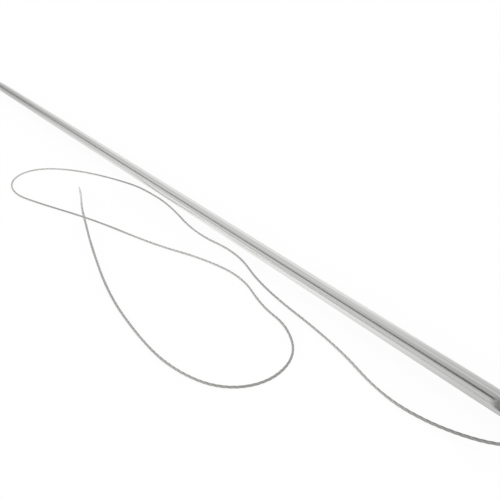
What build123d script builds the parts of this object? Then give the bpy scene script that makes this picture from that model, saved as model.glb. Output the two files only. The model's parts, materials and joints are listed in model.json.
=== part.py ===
"""A large straight hand needle for upholstery, threaded, with its thread lying in loose loops.

The needle is one piece of polished round steel wire: an ogive point, a plain shaft and a head that
is a little thinner towards the butt. The head has a long eye with a gutter pressed into each side of it,
so that the thread sinks out of the way.
The thread goes through the eye, leaves a short tail behind the needle and lies on the table in front
of it in two long loops, where it crosses over itself once.

Millimetres. +X runs along the needle from its point to its butt, +Z is up, and the origin is on the
table under the middle of the needle. The needle lies rolled, so its eye looks up at eye_tilt.
"""

from build123d import *
from math import cos, pi, radians, sin, sqrt, tan
import os

# Needle
needle_length = 203.0  # 8 inches
shaft_diameter = 2.5  # between 13 and 12 gauge wire
point_length = 20.0  # the ogive, from full thickness to the tip
tip_diameter = 0.24  # where the ogive ends and the honed tip begins
tip_length = 0.35
butt_diameter = 2.36  # the head is ground to a slight taper, so that the threaded eye follows the shaft
butt_round = 0.95  # the edge of the butt is rounded to this radius

# Eye and its gutters
eye_to_butt = 8.5  # from the middle of the eye
eye_length = 8.0
eye_width = 1.0
eye_edge_round = 0.15  # polished, so that the edge doesn't cut the thread
gutter_length = 12.4
gutter_width = 1.3
gutter_depth = 0.5
gutter_end_radius = 8.0  # along the needle, where the gutter's floor rises to its end
gutter_corner_round = 0.3
head_lead = 1.3  # how far ahead of the gutters the head's taper begins
eye_tilt = 33.0  # degrees from the table to the eye's axis, on the side of the loops

# Thread
thread_diameter = 0.31
strand_sides = 12  # flat sides that stand for the round, and keep a strand this fine and this long light
eye_run_front = 1.9  # how far the straight stretch through the eye reaches, across the needle
eye_run_back = 1.6
BEND_SHARE = 0.45  # the share of the shorter run that an arc takes up at each end

# The route from the bare end on the table to the eye: how far each point is past the eye along the
# needle, how far it is from the needle's middle, and how far the thread is lifted off the table there.
LOOPS = [
    (-90.5, -11.6, 0.0),
    (-85.9, -13.1, 0.45),
    (-78.6, -16.0, 1.35),
    (-73.6, -17.6, 1.35),
    (-65.9, -20.0, 0.45),
    (-52.3, -23.6, 0.0),
    (-41.2, -24.8, 0.0),
    (-33.6, -24.6, 0.0),
    (-27.2, -22.1, 0.0),
    (-24.4, -17.0, 0.0),
    (-25.9, -11.3, 0.0),
    (-31.1, -8.3, 0.0),
    (-36.4, -8.2, 0.0),
    (-44.0, -5.8, 0.0),
    (-52.3, -7.6, 0.0),
    (-60.8, -11.4, 0.0),
    (-75.0, -15.3, 0.0),
    (-88.4, -20.8, 0.0),
    (-95.1, -23.0, 0.0),
    (-101.7, -21.7, 0.0),
    (-105.5, -17.6, 0.0),
    (-104.2, -12.5, 0.0),
    (-97.1, -7.1, 0.0),
    (-86.0, -2.7, 0.0),
    (-80.0, -1.75, 0.0),
    (-72.0, -1.6, 0.0),
    (-59.8, -3.9, 0.0),
    (-49.9, -2.1, 0.0),
    (-40.2, -5.2, 0.0),
    (-24.5, -6.0, 0.0),
    (-15.2, -8.3, 0.0),
    (-8.6, -7.3, 0.0),
    (-2.3, -4.8, 0.8),
]
# The tail behind the needle, from the eye to its bare end.
TAIL = [
    (0.8, 5.2, 0.0),
    (3.4, 9.4, 0.0),
    (8.0, 12.2, 0.0),
    (13.6, 12.6, 0.0),
    (18.6, 10.2, 0.0),
    (21.4, 5.6, 0.0),
]

shaft_radius = shaft_diameter / 2
thread_radius = thread_diameter / 2
eye_x = needle_length / 2 - eye_to_butt
head_x = eye_x - gutter_length / 2 - head_lead
eye_side = (0, -cos(radians(eye_tilt)), sin(radians(eye_tilt)))  # the way the eye looks, in front
eye_across = (0, sin(radians(eye_tilt)), cos(radians(eye_tilt)))
needle_middle = (0, 0, shaft_radius)
eye_plane = Plane(origin=needle_middle, x_dir=(1, 0, 0), z_dir=eye_side)
die_plane = Plane(origin=needle_middle, x_dir=(1, 0, 0), z_dir=eye_across)

os.makedirs("parts", exist_ok=True)

# The gutters are pressed by a thin die, which is flat along the eye and curves up at both ends.
gutter_rise = sqrt(gutter_depth * (2 * gutter_end_radius - gutter_depth))  # one curved end's length
die_reach = shaft_radius - gutter_depth + gutter_end_radius

with BuildPart() as gutter_die:
    with BuildSketch():
        SlotCenterToCenter(gutter_length - 2 * gutter_rise, 2 * gutter_end_radius)
    extrude(amount=gutter_width / 2, both=True)
    fillet(gutter_die.edges().filter_by(Axis.Z, reverse=True), gutter_corner_round)

with BuildPart() as needle:
    with BuildSketch(eye_plane):
        with BuildLine():
            tip = Line((-needle_length / 2, 0), (-needle_length / 2 + tip_length, tip_diameter / 2))
            point = TangentArc(
                (-needle_length / 2 + point_length, shaft_radius), tip @ 1, tangent=(-1, 0)
            )
            shaft = Line(point @ 0, (head_x, shaft_radius))
            head = Line(shaft @ 1, (needle_length / 2, butt_diameter / 2))
            Polyline(head @ 1, (needle_length / 2, 0), (-needle_length / 2, 0))
        make_face()
    revolve(axis=Axis(needle_middle, (1, 0, 0)))
    fillet(needle.edges().group_by(Axis.X)[-1], butt_round)
    with Locations(
        die_plane * Location((eye_x, die_reach, 0)),
        die_plane * Location((eye_x, -die_reach, 0)),
    ):
        add(gutter_die.part, mode=Mode.SUBTRACT)
    with BuildSketch(eye_plane):
        with Locations((eye_x, 0)):
            SlotOverall(eye_length, eye_width)
    extrude(amount=shaft_radius, both=True, mode=Mode.SUBTRACT)
    mouths = needle.edges(Select.LAST).filter_by(GeomType.LINE, reverse=True)
    mouths = mouths.filter_by_position(Axis.X, eye_x - eye_length / 2, eye_x + eye_length / 2)
    fillet(mouths, eye_edge_round)

needle.part.label = "needle"
export_step(needle.part, "parts/needle.step")
print("needle volume", round(needle.part.volume, 3))


def arc_radii(points):
    """The radius at each inner point of a route: as large as its two runs allow."""
    radii = []
    for before, here, after in zip(points, points[1:], points[2:]):
        turn = (here - before).get_angle(after - here)
        shorter = min((here - before).length, (after - here).length)
        radii.append(BEND_SHARE * shorter / tan(radians(turn / 2)))
    return radii


def on_table(point):
    """A route's point in the frame, from its place past the eye, across the needle and its lift."""
    past_eye, across, lift = point
    return Vector(eye_x + past_eye, across, thread_radius + lift)


def through_eye(across):
    """A point on the eye's own axis, at this place across the needle."""
    return Vector(eye_x, across, shaft_radius - across * tan(radians(eye_tilt)))


route = [on_table(p) for p in LOOPS]
route += [through_eye(-eye_run_front), through_eye(eye_run_back)]
route += [on_table(p) for p in TAIL]
radii = arc_radii(route)

with BuildPart() as thread:
    with BuildLine() as strand:
        FilletPolyline(*route, radius=radii)
    with BuildSketch(Plane(origin=route[0], z_dir=route[1] - route[0])):
        RegularPolygon(thread_radius, strand_sides)
    sweep()

thread.part.label = "thread"
export_step(thread.part, "parts/thread.step")

strand_length = sum(edge.length for edge in strand.line.edges())
section = strand_sides / 2 * thread_radius**2 * sin(2 * pi / strand_sides)
print("thread length", round(strand_length, 2), "volume", round(thread.part.volume, 4))
print("section x length", round(section * strand_length, 4), "points", len(route))
print("radii", [round(r, 2) for r in radii])
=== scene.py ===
"""A threaded upholstery needle on a white table, under plain soft light.

The needle's solid is kept and gets its polished steel. The thread's solid is replaced by a strand of
three twisted plies, which takes the same route. Metres, +X from the needle's point to its butt, +Z up.
"""

import json
import math

import bpy
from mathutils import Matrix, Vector, noise


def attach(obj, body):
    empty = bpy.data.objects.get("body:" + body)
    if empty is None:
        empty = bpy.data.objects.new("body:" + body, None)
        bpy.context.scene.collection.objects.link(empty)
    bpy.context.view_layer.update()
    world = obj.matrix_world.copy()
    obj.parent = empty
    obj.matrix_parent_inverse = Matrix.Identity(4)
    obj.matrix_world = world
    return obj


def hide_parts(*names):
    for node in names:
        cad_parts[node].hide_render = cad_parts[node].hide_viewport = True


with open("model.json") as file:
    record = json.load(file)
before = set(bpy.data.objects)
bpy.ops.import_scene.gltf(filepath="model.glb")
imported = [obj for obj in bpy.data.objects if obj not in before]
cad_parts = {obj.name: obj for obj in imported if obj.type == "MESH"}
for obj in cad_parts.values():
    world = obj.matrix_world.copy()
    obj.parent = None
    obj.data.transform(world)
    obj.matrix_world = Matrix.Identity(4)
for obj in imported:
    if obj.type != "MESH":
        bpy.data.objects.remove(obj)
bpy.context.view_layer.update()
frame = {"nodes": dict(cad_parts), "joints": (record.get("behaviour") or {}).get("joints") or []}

MM = 0.001
HALF_TURN = 180  # degrees

# The camera
LENS = 39.6
SENSOR_WIDTH = 36.0
NEAREST, FARTHEST = 2 * MM, 10.0  # it sees what lies between these distances
CAMERA_PLACE = (104.0 * MM, -47.626 * MM, 45.584 * MM)
AZIMUTH = math.radians(51.793)
ELEVATION = math.radians(30.527)

# The room in the needle's mirror: brightness by the angle round the needle's axis. 0 is the horizon in
# front, 90 is overhead and 180 is the horizon behind. The overhead light is a little dimmer than the
# white walls. Straight out from the needle the room is duller than along it.
WALLS_ACROSS = [
    (0, 0.73), (20, 0.71), (58, 0.57), (72, 0.63),
    (88, 0.57), (115, 0.71), (150, 0.67), (178, 0.86),
]
WALLS_ALONG = [
    (0, 0.86), (20, 0.84), (60, 0.74), (75, 0.78),
    (95, 0.77), (107, 0.82), (120, 0.91), (140, 1.0),
]
# How much of the room's dimming far along the needle counts at each angle
FAR_DIM = [(0, 0.9), (30, 1.0), (50, 1.0), (100, 0.6), (150, 0.3), (180, 0.1)]
# The dark gap in front, between the table's light and the one overhead
GAP = [(0, 0.0), (36, 0.0), (40, 1.0), (52, 1.0), (56, 0.0), (180, 0.0)]
GAP_MIDDLE = 46

# How that room changes along the needle. Each value goes from its third number to its fourth while a
# direction's share along the needle goes from the first number to the second.
WALLS_TURN = (0.27, 0.5, 0.0, 1.0)  # from WALLS_ACROSS to WALLS_ALONG
FAR_DIM_DEPTH = (0.87, 0.95, 0.0, 0.52)
GAP_DEPTH = (0.26, 0.5, 0.95, 0.72)
GAP_SQUEEZE = (0.24, 0.32, 0.8, 1.0)  # the gap is wider near the head
GAP_FALL = (0.82, 0.94, 0.0, 14 / HALF_TURN)  # far along, the gap comes down towards the table

# What lights all that isn't polished: the room, and two long lights, one in front and one behind
ROOM_LIGHT = 0.35
LONG_LIGHTS = 2.6

# The table, and how bright it is in the needle's mirror by the place along the needle in millimetres
TABLE_HALF = 1.5
SHADOW_SHARE = 0.08  # how much of its white depends on the light, so that it can take a shadow
TABLE_LEVELS = [
    (-80, 0.58), (-60, 0.67), (-20, 0.8), (0, 0.88),
    (40, 1.02), (60, 0.97), (72, 0.84), (84, 0.66),
]
LEVELS_REACH = 90  # millimetres to each side of the needle's middle
TABLE_AHEAD = (-1 * MM, -14 * MM, 1.15, 0.95)  # brighter close to the needle than in front of it

NOISE_LOW, NOISE_HIGH = 0.3, 0.7  # nearly all of a noise lies between these

# The steel's streaks, by their length and width, and how high the polish left them
BROAD_STREAKS = (60 * MM, 0.3 * MM)
BROAD_HEIGHT = 0.012 * MM
FINE_STREAKS = (40 * MM, 0.1 * MM)
FINE_HEIGHT = 0.004 * MM
STREAK_LOW, STREAK_HIGH = 0.42, 0.58  # the broad noise where the steel is darkest and lightest
SMOOTHEST, ROUGHEST = 0.17, 0.24
UNPOLISHED_ROUGHER = 0.2

# The needle's head: the eye's middle, how the eye is tilted, and the gutters
EYE = Vector(frame["joints"][0]["pos_m"])
EYE_TILT = math.radians(33)
GUTTER_LENGTH = 12.4 * MM
GUTTER_WIDTH = 1.3 * MM
GUTTER_POINTED = 1.14 / MM  # how pointed its ends are, where its floor runs out of the round surface
# The gutters' rougher finish and their painted shade both fade out between these, about the gutter's end
GUTTER_END_IN, GUTTER_END_OUT = 0.4 * MM, 0.5 * MM  # its finish fades between these, about its end
GUTTER_EDGE_FADE = 0.03 * MM

# The strand
THREAD_DIAMETER = 0.31 * MM
THREAD_RADIUS = THREAD_DIAMETER / 2
PLIES = 3
PLY_PITCH = 2.4 * MM  # one turn of the plies
GROOVE_DEPTH = 0.024 * MM  # between two plies, where the bonding resin has filled them up
OPEN_DEPTH = 0.11 * MM  # between two plies at a bare end, where the resin is gone
OPEN_LENGTH = 2.5 * MM
VERTS_PER_PLY = 8
RING_VERTS = PLIES * VERTS_PER_PLY
RING_STEP = 0.125 * MM
END_LENGTH = 4.0 * MM  # the stretch before a bare end where the plies have worn away
END_SHARE = 0.55  # what is left of the thickness there
SLACK_SHARE = 1.22  # how much thicker the loose end is, where its twist has slackened
SLACK_LENGTH = 20.0 * MM  # as thick as that up to here
SLACK_EASE = 40.0 * MM  # and back to the usual thickness over this
HANDLED_SHARE = 1.08  # how much thicker the strand is towards the eye, where fingers have worked it
HANDLED_START = 252.0 * MM  # from the loose end
HANDLED_EASE = 12.0 * MM
UNEVEN_SHARE = 0.14  # how much the thickness wanders
UNEVEN_LENGTH = 5.0 * MM

# How much of a ply's lighter grey there is, from the ply's middle at 0 to the groove at 1; the darker
# grey in the groove is painted shade
PLY_SHADE_LEVELS = [(0.0, 1.0), (0.6, 0.9), (1.0, 0.0)]
FILAMENTS_DARK, FILAMENTS_LIGHT = 0.9, 1.06

# How light the strand's grey is, by the millimetres from its loose end. It is lighter at that end, a
# little mottled in the loops, and darker towards the eye.
TONES_REACH = 310
TONES_ALONG = [
    (0, 1.5),
    (6, 1.5),
    (16, 1.0),
    (40, 0.88),
    (58, 0.92),
    (68, 0.72),
    (82, 0.9),
    (106, 1.1),
    (120, 0.92),
    (138, 0.72),
    (150, 0.95),
    (160, 1.3),
    (172, 1.05),
    (184, 0.72),
    (204, 0.97),
    (220, 1.03),
    (234, 0.88),
    (254, 1.02),
    (267, 0.58),
    (310, 0.58),
]

# The route from the bare end on the table to the eye, in millimetres: past the eye along the needle,
# from the needle's middle, and lifted off the table.
LOOPS = [
    (-90.5, -11.6, 0.0),
    (-85.9, -13.1, 0.45),
    (-78.6, -16.0, 1.35),
    (-73.6, -17.6, 1.35),
    (-65.9, -20.0, 0.45),
    (-52.3, -23.6, 0.0),
    (-41.2, -24.8, 0.0),
    (-33.6, -24.6, 0.0),
    (-27.2, -22.1, 0.0),
    (-24.4, -17.0, 0.0),
    (-25.9, -11.3, 0.0),
    (-31.1, -8.3, 0.0),
    (-36.4, -8.2, 0.0),
    (-44.0, -5.8, 0.0),
    (-52.3, -7.6, 0.0),
    (-60.8, -11.4, 0.0),
    (-75.0, -15.3, 0.0),
    (-88.4, -20.8, 0.0),
    (-95.1, -23.0, 0.0),
    (-101.7, -21.7, 0.0),
    (-105.5, -17.6, 0.0),
    (-104.2, -12.5, 0.0),
    (-97.1, -7.1, 0.0),
    (-86.0, -2.7, 0.0),
    (-80.0, -1.75, 0.0),
    (-72.0, -1.6, 0.0),
    (-59.8, -3.9, 0.0),
    (-49.9, -2.1, 0.0),
    (-40.2, -5.2, 0.0),
    (-24.5, -6.0, 0.0),
    (-15.2, -8.3, 0.0),
    (-8.6, -7.3, 0.0),
    (-2.3, -4.8, 0.8),
]
# The straight stretch through the eye, to the front and to the back of the needle's middle
EYE_RUN_FRONT = 1.9 * MM
EYE_RUN_BACK = 1.6 * MM
# The tail behind the needle, from the eye to its bare end
TAIL = [
    (0.8, 5.2, 0.0),
    (3.4, 9.4, 0.0),
    (8.0, 12.2, 0.0),
    (13.6, 12.6, 0.0),
    (18.6, 10.2, 0.0),
    (21.4, 5.6, 0.0),
]


# ---------------------------------------------------------------- helpers


def colour(text):
    """Linear RGBA of an sRGB hex value."""
    channels = [int(text[i : i + 2], 16) / 255 for i in (0, 2, 4)]
    linear = [c / 12.92 if c <= 0.04045 else ((c + 0.055) / 1.055) ** 2.4 for c in channels]
    return (*linear, 1.0)


def add_node(tree, kind, inputs=None, **settings):
    """Adds a node. Settings are its properties, and inputs maps a socket to a value or to an output."""
    node = tree.nodes.new(kind)
    for name, value in settings.items():
        setattr(node, name, value)
    for socket, value in (inputs or {}).items():
        if isinstance(value, bpy.types.NodeSocket):
            tree.links.new(value, node.inputs[socket])
        else:
            node.inputs[socket].default_value = value
    return node


def maths(tree, operation, *values):
    """The result of a sum on values or outputs."""
    return add_node(tree, "ShaderNodeMath", dict(enumerate(values)), operation=operation).outputs[0]


def ranged(tree, value, low, high, at_low, at_high):
    """A value that goes from at_low to at_high while the input goes from low to high."""
    names = ("Value", "From Min", "From Max", "To Min", "To Max")
    return add_node(
        tree, "ShaderNodeMapRange", dict(zip(names, (value, low, high, at_low, at_high)))
    ).outputs[0]


def mixed(tree, factor, a, b, data_type="FLOAT"):
    """A value, or a colour where data_type is RGBA, that goes from a to b with the factor."""
    inputs = {"Factor": factor, "A": a, "B": b}
    return add_node(tree, "ShaderNodeMix", inputs, data_type=data_type).outputs["Result"]


def ramp(tree, place, stops, span=1.0, start=0.0):
    """A grey level by place. The stops are counted from -start, over this span."""
    node = add_node(tree, "ShaderNodeValToRGB", {"Fac": place})
    elements = node.color_ramp.elements
    while len(elements) < len(stops):
        elements.new(1.0)
    for element, (stop, level) in zip(elements, stops):
        element.position = (stop + start) / span
        element.color = (level, level, level, 1.0)
    return node.outputs["Color"]


def separated(tree, vector):
    """The outputs X, Y and Z of a vector."""
    return add_node(tree, "ShaderNodeSeparateXYZ", {"Vector": vector}).outputs


def new_material(name):
    """An empty node material, and its tree."""
    material = bpy.data.materials.new(name)
    material.use_nodes = True
    material.node_tree.nodes.clear()
    return material, material.node_tree


# ---------------------------------------------------------------- camera, studio and table


def make_camera():
    camera = bpy.data.objects.new("camera", bpy.data.cameras.new("camera"))
    bpy.context.scene.collection.objects.link(camera)
    camera.data.lens = LENS
    camera.data.sensor_width = SENSOR_WIDTH
    camera.data.clip_start = NEAREST
    camera.data.clip_end = FARTHEST
    back = Vector(
        (
            math.sin(AZIMUTH) * math.cos(ELEVATION),
            -math.cos(AZIMUTH) * math.cos(ELEVATION),
            math.sin(ELEVATION),
        )
    )
    camera.location = CAMERA_PLACE
    camera.rotation_euler = (-back).to_track_quat("-Z", "Y").to_euler()
    bpy.context.scene.camera = camera


def mirrored_walls(tree, place, along):
    """How bright the mirror shows the room, by the angle round the needle and the share along it."""
    walls = mixed(
        tree,
        ranged(tree, along, *WALLS_TURN),
        ramp(tree, place, WALLS_ACROSS, HALF_TURN),
        ramp(tree, place, WALLS_ALONG, HALF_TURN),
    )
    depth = ranged(tree, along, *FAR_DIM_DEPTH)
    dim = maths(tree, "MULTIPLY", ramp(tree, place, FAR_DIM, HALF_TURN), depth)
    return maths(tree, "MULTIPLY", walls, maths(tree, "SUBTRACT", 1.0, dim))


def beside_gap(tree, place, along):
    """What the dark gap leaves of that brightness: all of it outside the gap, and little inside."""
    lower = maths(tree, "ADD", place, ranged(tree, along, *GAP_FALL))
    middle = GAP_MIDDLE / HALF_TURN
    squeeze = ranged(tree, along, *GAP_SQUEEZE)
    within = maths(tree, "MULTIPLY_ADD", maths(tree, "SUBTRACT", lower, middle), squeeze, middle)
    gap = ramp(tree, within, GAP, HALF_TURN)
    depth = ranged(tree, along, *GAP_DEPTH)
    return maths(tree, "SUBTRACT", 1.0, maths(tree, "MULTIPLY", gap, depth))


def make_studio():
    """A white room, which only polished metal sees in its darker and lighter bands."""
    world = bpy.data.worlds.new("white studio")
    bpy.context.scene.world = world
    world.use_nodes = True
    tree = world.node_tree
    tree.nodes.clear()
    part = separated(tree, add_node(tree, "ShaderNodeTexCoord").outputs["Generated"])
    along = maths(tree, "ABSOLUTE", part["X"])
    angle = maths(tree, "ARCTAN2", part["Z"], maths(tree, "MULTIPLY", part["Y"], -1.0))
    place = maths(tree, "DIVIDE", angle, math.pi)
    walls = mirrored_walls(tree, place, along)
    mirrored = maths(tree, "MULTIPLY", walls, beside_gap(tree, place, along))
    sideways = maths(tree, "MULTIPLY", part["Y"], part["Y"])
    lit = maths(tree, "MULTIPLY_ADD", sideways, LONG_LIGHTS, ROOM_LIGHT)
    ray = add_node(tree, "ShaderNodeLightPath").outputs
    unseen = mixed(tree, ray["Is Glossy Ray"], lit, mirrored)
    level = mixed(tree, ray["Is Camera Ray"], unseen, 1.0)
    light = add_node(tree, "ShaderNodeBackground", {"Color": level})
    add_node(tree, "ShaderNodeOutputWorld", {"Surface": light.outputs[0]})


def white_laminate():
    """It shines white and keeps a faint shadow where something lies on it. In polished metal it looks
    unevenly lit."""
    material, tree = new_material("white laminate")
    place = separated(tree, add_node(tree, "ShaderNodeTexCoord").outputs["Object"])
    reach = LEVELS_REACH * MM
    along = ranged(tree, place["X"], -reach, reach, 0.0, 1.0)
    levels = ramp(tree, along, TABLE_LEVELS, 2 * LEVELS_REACH, LEVELS_REACH)
    mirrored = maths(tree, "MULTIPLY", levels, ranged(tree, place["Y"], *TABLE_AHEAD))
    glossy = add_node(tree, "ShaderNodeLightPath").outputs["Is Glossy Ray"]
    strength = mixed(tree, glossy, 1.0, mirrored)
    glow = add_node(tree, "ShaderNodeEmission", {"Color": colour("FFFFFF"), "Strength": strength})
    matte = add_node(tree, "ShaderNodeBsdfDiffuse", {"Color": colour("FFFFFF")})
    both = add_node(
        tree, "ShaderNodeMixShader", {"Fac": SHADOW_SHARE, 1: glow.outputs[0], 2: matte.outputs[0]}
    )
    add_node(tree, "ShaderNodeOutputMaterial", {"Surface": both.outputs[0]})
    return material


def make_table():
    half = TABLE_HALF
    corners = [(-half, -half, 0), (half, -half, 0), (half, half, 0), (-half, half, 0)]
    mesh = bpy.data.meshes.new("table")
    mesh.from_pydata(corners, [], [(0, 1, 2, 3)])
    mesh.materials.append(white_laminate())
    table = bpy.data.objects.new("table", mesh)
    bpy.context.scene.collection.objects.link(table)


# ---------------------------------------------------------------- materials


def lengthwise(tree, where, length, width):
    """Noise in lines of this length and width along the needle."""
    stretched = add_node(
        tree, "ShaderNodeMapping", {"Vector": where, "Scale": (1 / length, 1 / width, 1 / width)}
    )
    return add_node(
        tree, "ShaderNodeTexNoise", {"Vector": stretched.outputs[0], "Scale": 1.0, "Detail": 3.0}
    ).outputs["Fac"]


def inside_head(tree, where):
    """1 in the two gutters and in the eye between them, and 0 on the needle's own round surface."""
    place = separated(tree, where)
    above = maths(tree, "SUBTRACT", place["Z"], EYE.z)
    side = maths(tree, "MULTIPLY", place["Y"], math.sin(EYE_TILT))
    across = maths(tree, "MULTIPLY_ADD", above, math.cos(EYE_TILT), side)
    past = maths(tree, "ABSOLUTE", maths(tree, "SUBTRACT", place["X"], EYE.x))
    squared = maths(tree, "MULTIPLY", across, across)
    rounded = maths(tree, "MULTIPLY_ADD", squared, GUTTER_POINTED, past)
    end = GUTTER_LENGTH / 2
    ends = ranged(tree, rounded, end - GUTTER_END_IN, end + GUTTER_END_OUT, 1.0, 0.0)
    edge = GUTTER_WIDTH / 2
    aside = maths(tree, "ABSOLUTE", across)
    sides = ranged(tree, aside, edge - GUTTER_EDGE_FADE, edge + GUTTER_EDGE_FADE, 1.0, 0.0)
    return maths(tree, "MULTIPLY", ends, sides)


def polished_steel():
    """Nickel-plated steel wire, drawn and then polished along its length. It mirrors the room in soft
    bands along the needle, which the polishing lines make a little uneven. The pressed gutters and the
    eye were out of the polish's reach, so they are duller; their darker steel colour is painted shade in
    these recesses."""
    material, tree = new_material("polished nickel-plated steel")
    where = add_node(tree, "ShaderNodeTexCoord").outputs["Object"]
    broad = lengthwise(tree, where, *BROAD_STREAKS)
    fine = lengthwise(tree, where, *FINE_STREAKS)
    unpolished_and_shaded = inside_head(tree, where)
    streaky = ranged(tree, broad, STREAK_LOW, STREAK_HIGH, 0.0, 1.0)
    streaks = mixed(tree, streaky, colour("CFCFCD"), colour("E4E4E2"), "RGBA")
    # The gutters and the eye get a darker steel colour, which is painted shade in these recesses; their
    # extra roughness below is real
    tone = mixed(tree, unpolished_and_shaded, streaks, colour("9C9B98"), "RGBA")
    polish = ranged(tree, fine, NOISE_LOW, NOISE_HIGH, SMOOTHEST, ROUGHEST)
    rough = maths(tree, "MULTIPLY_ADD", unpolished_and_shaded, UNPOLISHED_ROUGHER, polish)
    waves = add_node(
        tree, "ShaderNodeBump", {"Height": broad, "Strength": 0.5, "Distance": BROAD_HEIGHT}
    )
    lines = add_node(
        tree,
        "ShaderNodeBump",
        {"Height": fine, "Strength": 0.4, "Distance": FINE_HEIGHT, "Normal": waves.outputs[0]},
    )
    steel = add_node(
        tree,
        "ShaderNodeBsdfPrincipled",
        {"Base Color": tone, "Metallic": 1.0, "Roughness": rough, "Normal": lines.outputs[0]},
    )
    add_node(tree, "ShaderNodeOutputMaterial", {"Surface": steel.outputs[0]})
    return material


def bonded_thread():
    """Grey bonded nylon, twisted from three plies. Matte, and a little darker between the plies, where
    painted shade fills the grooves.
    """
    material, tree = new_material("bonded three-ply nylon")
    place = add_node(tree, "ShaderNodeUVMap", uv_map="strand").outputs["UV"]
    part = separated(tree, place)
    crown = ramp(tree, maths(tree, "PINGPONG", part["Y"], 1.0), PLY_SHADE_LEVELS)
    filaments = add_node(
        tree, "ShaderNodeTexNoise", {"Vector": place, "Scale": 6.0, "Detail": 3.0, "Roughness": 0.6}
    ).outputs["Fac"]
    # The darker grey towards the grooves between the plies is painted shade
    tone = mixed(tree, crown, colour("8F8F8C"), colour("B4B4B1"), "RGBA")
    worn = ranged(tree, filaments, NOISE_LOW, NOISE_HIGH, FILAMENTS_DARK, FILAMENTS_LIGHT)
    mottled = ramp(tree, maths(tree, "DIVIDE", part["X"], TONES_REACH), TONES_ALONG, TONES_REACH)
    level = maths(tree, "MULTIPLY", worn, mottled)
    uneven = add_node(tree, "ShaderNodeVectorMath", {0: tone, "Scale": level}, operation="SCALE")
    nylon = add_node(
        tree,
        "ShaderNodeBsdfPrincipled",
        {"Base Color": uneven.outputs[0], "Roughness": 0.62, "IOR": 1.53},
    )
    add_node(tree, "ShaderNodeOutputMaterial", {"Surface": nylon.outputs[0]})
    return material


# ---------------------------------------------------------------- thread


def on_table(point):
    """A point of the route, from its place past the eye, across the needle and its lift."""
    past_eye, across, lift = point
    return Vector((EYE.x + past_eye * MM, across * MM, THREAD_RADIUS + lift * MM))


def through_eye(across):
    """A point on the eye's own axis."""
    return Vector((EYE.x, across, EYE.z - across * math.tan(EYE_TILT)))


def route_line():
    """The strand's middle, read from one smooth curve through the loops, the eye and the tail."""
    points = [on_table(p) for p in LOOPS]
    points += [through_eye(-EYE_RUN_FRONT), through_eye(EYE_RUN_BACK)]
    points += [on_table(p) for p in TAIL]
    data = bpy.data.curves.new("route", "CURVE")
    data.dimensions = "3D"
    data.resolution_u = 64
    spline = data.splines.new("NURBS")
    spline.points.add(len(points) - 1)
    for control, point in zip(spline.points, points):
        control.co = (*point, 1.0)
    spline.order_u = 3
    spline.use_endpoint_u = True
    curve = bpy.data.objects.new("route", data)
    line = bpy.data.meshes.new_from_object(curve)
    places = [v.co.copy() for v in line.vertices]
    bpy.data.meshes.remove(line)
    bpy.data.objects.remove(curve)
    bpy.data.curves.remove(data)
    return places


def evenly(places, step):
    """The same line as points one step apart, and that step, which is adjusted to fit."""
    total = sum((b - a).length for a, b in zip(places, places[1:]))
    count = round(total / step)
    step = total / count
    even = [places[0]]
    gone = 0.0
    for a, b in zip(places, places[1:]):
        run = (b - a).length
        while len(even) < count and gone + run >= len(even) * step:
            even.append(a.lerp(b, (len(even) * step - gone) / run))
        gone += run
    return even + [places[-1]], step


def eased(low, high, t):
    """A value that goes smoothly from low to high while t goes from 0 to 1."""
    t = min(max(t, 0.0), 1.0)
    return low + (high - low) * t * t * (3 - 2 * t)


def fullness(along):
    """How thick the strand is at this distance from its loose end, as a share of its usual thickness."""
    slack = eased(SLACK_SHARE, 1.0, (along - SLACK_LENGTH) / SLACK_EASE)
    handled = eased(1.0, HANDLED_SHARE, (along - HANDLED_START) / HANDLED_EASE)
    uneven = 1.0 + UNEVEN_SHARE * noise.noise(Vector((along / UNEVEN_LENGTH, 0.0, 0.0)))
    return slack * handled * uneven


def ring(centre, side, up, turn, reach, full):
    """One section of the strand: three rounded plies with a groove between each two. The plies open
    and get thinner towards a bare end, by the distance to it."""
    share = full * eased(END_SHARE, 1.0, reach / END_LENGTH)
    groove = eased(OPEN_DEPTH, GROOVE_DEPTH, reach / OPEN_LENGTH)
    corners = []
    for i in range(RING_VERTS):
        angle = 2 * math.pi * i / RING_VERTS
        crown = abs(math.cos(PLIES / 2 * angle))
        radius = share * (THREAD_RADIUS + GROOVE_DEPTH / 2 - groove * (1 - crown))
        corners.append(
            centre + radius * (math.cos(angle + turn) * side + math.sin(angle + turn) * up)
        )
    return corners


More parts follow.
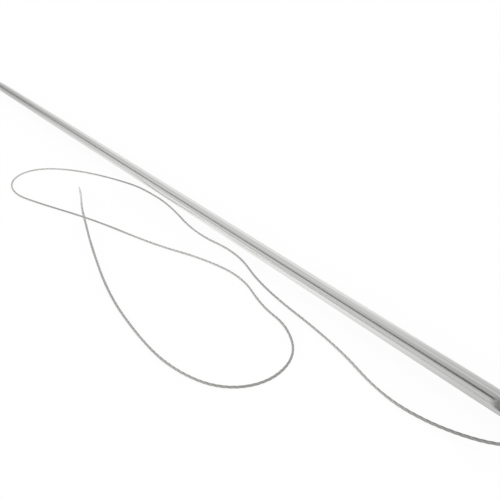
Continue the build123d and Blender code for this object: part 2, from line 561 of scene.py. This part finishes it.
def strand_verts(line, step):
    """The rings along the line. Their sides follow it without twisting, and the plies turn on that."""
    verts = []
    way = (line[1] - line[0]).normalized()
    side = way.orthogonal().normalized()
    for i, centre in enumerate(line):
        ahead = (line[min(i + 1, len(line) - 1)] - line[max(i - 1, 0)]).normalized()
        side = way.rotation_difference(ahead) @ side
        way = ahead
        reach = min(i, len(line) - 1 - i) * step
        turn = 2 * math.pi * i * step / PLY_PITCH
        verts += ring(centre, side, way.cross(side), turn, reach, fullness(i * step))
    return verts


def strand_faces(rings):
    """The faces between the rings, and one across each bare end."""
    faces = []
    for i in range(rings - 1):
        for j in range(RING_VERTS):
            k = (j + 1) % RING_VERTS
            a, b = i * RING_VERTS, (i + 1) * RING_VERTS
            faces.append((a + j, a + k, b + k, b + j))
    faces.append(tuple(reversed(range(RING_VERTS))))
    last = (rings - 1) * RING_VERTS
    faces.append(tuple(range(last, last + RING_VERTS)))
    return faces


def map_strand(mesh, rings, step):
    """The strand's own map: millimetres along it, and half plies round it."""
    layer = mesh.uv_layers.new(name="strand")
    places = []
    for i in range(rings - 1):
        for j in range(RING_VERTS):
            here, there = i * step / MM, (i + 1) * step / MM
            low, high = 2 * j / VERTS_PER_PLY, 2 * (j + 1) / VERTS_PER_PLY
            places += [here, low, here, high, there, high, there, low]
    places += [0.0, 0.0] * (2 * RING_VERTS)
    layer.data.foreach_set("uv", places)


def make_thread():
    line, step = evenly(route_line(), RING_STEP)
    faces = strand_faces(len(line))
    mesh = bpy.data.meshes.new("thread")
    mesh.from_pydata(strand_verts(line, step), [], faces)
    mesh.polygons.foreach_set("use_smooth", [True] * len(faces))
    map_strand(mesh, len(line), step)
    mesh.materials.append(bonded_thread())
    thread = bpy.data.objects.new("plied_thread", mesh)
    bpy.context.scene.collection.objects.link(thread)
    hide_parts("thread")
    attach(thread, "thread")


# ---------------------------------------------------------------- the part

make_camera()
make_studio()
make_table()
frame["nodes"]["needle"].material_slots[0].material = polished_steel()
make_thread()

bpy.context.scene.view_settings.view_transform = "Standard"
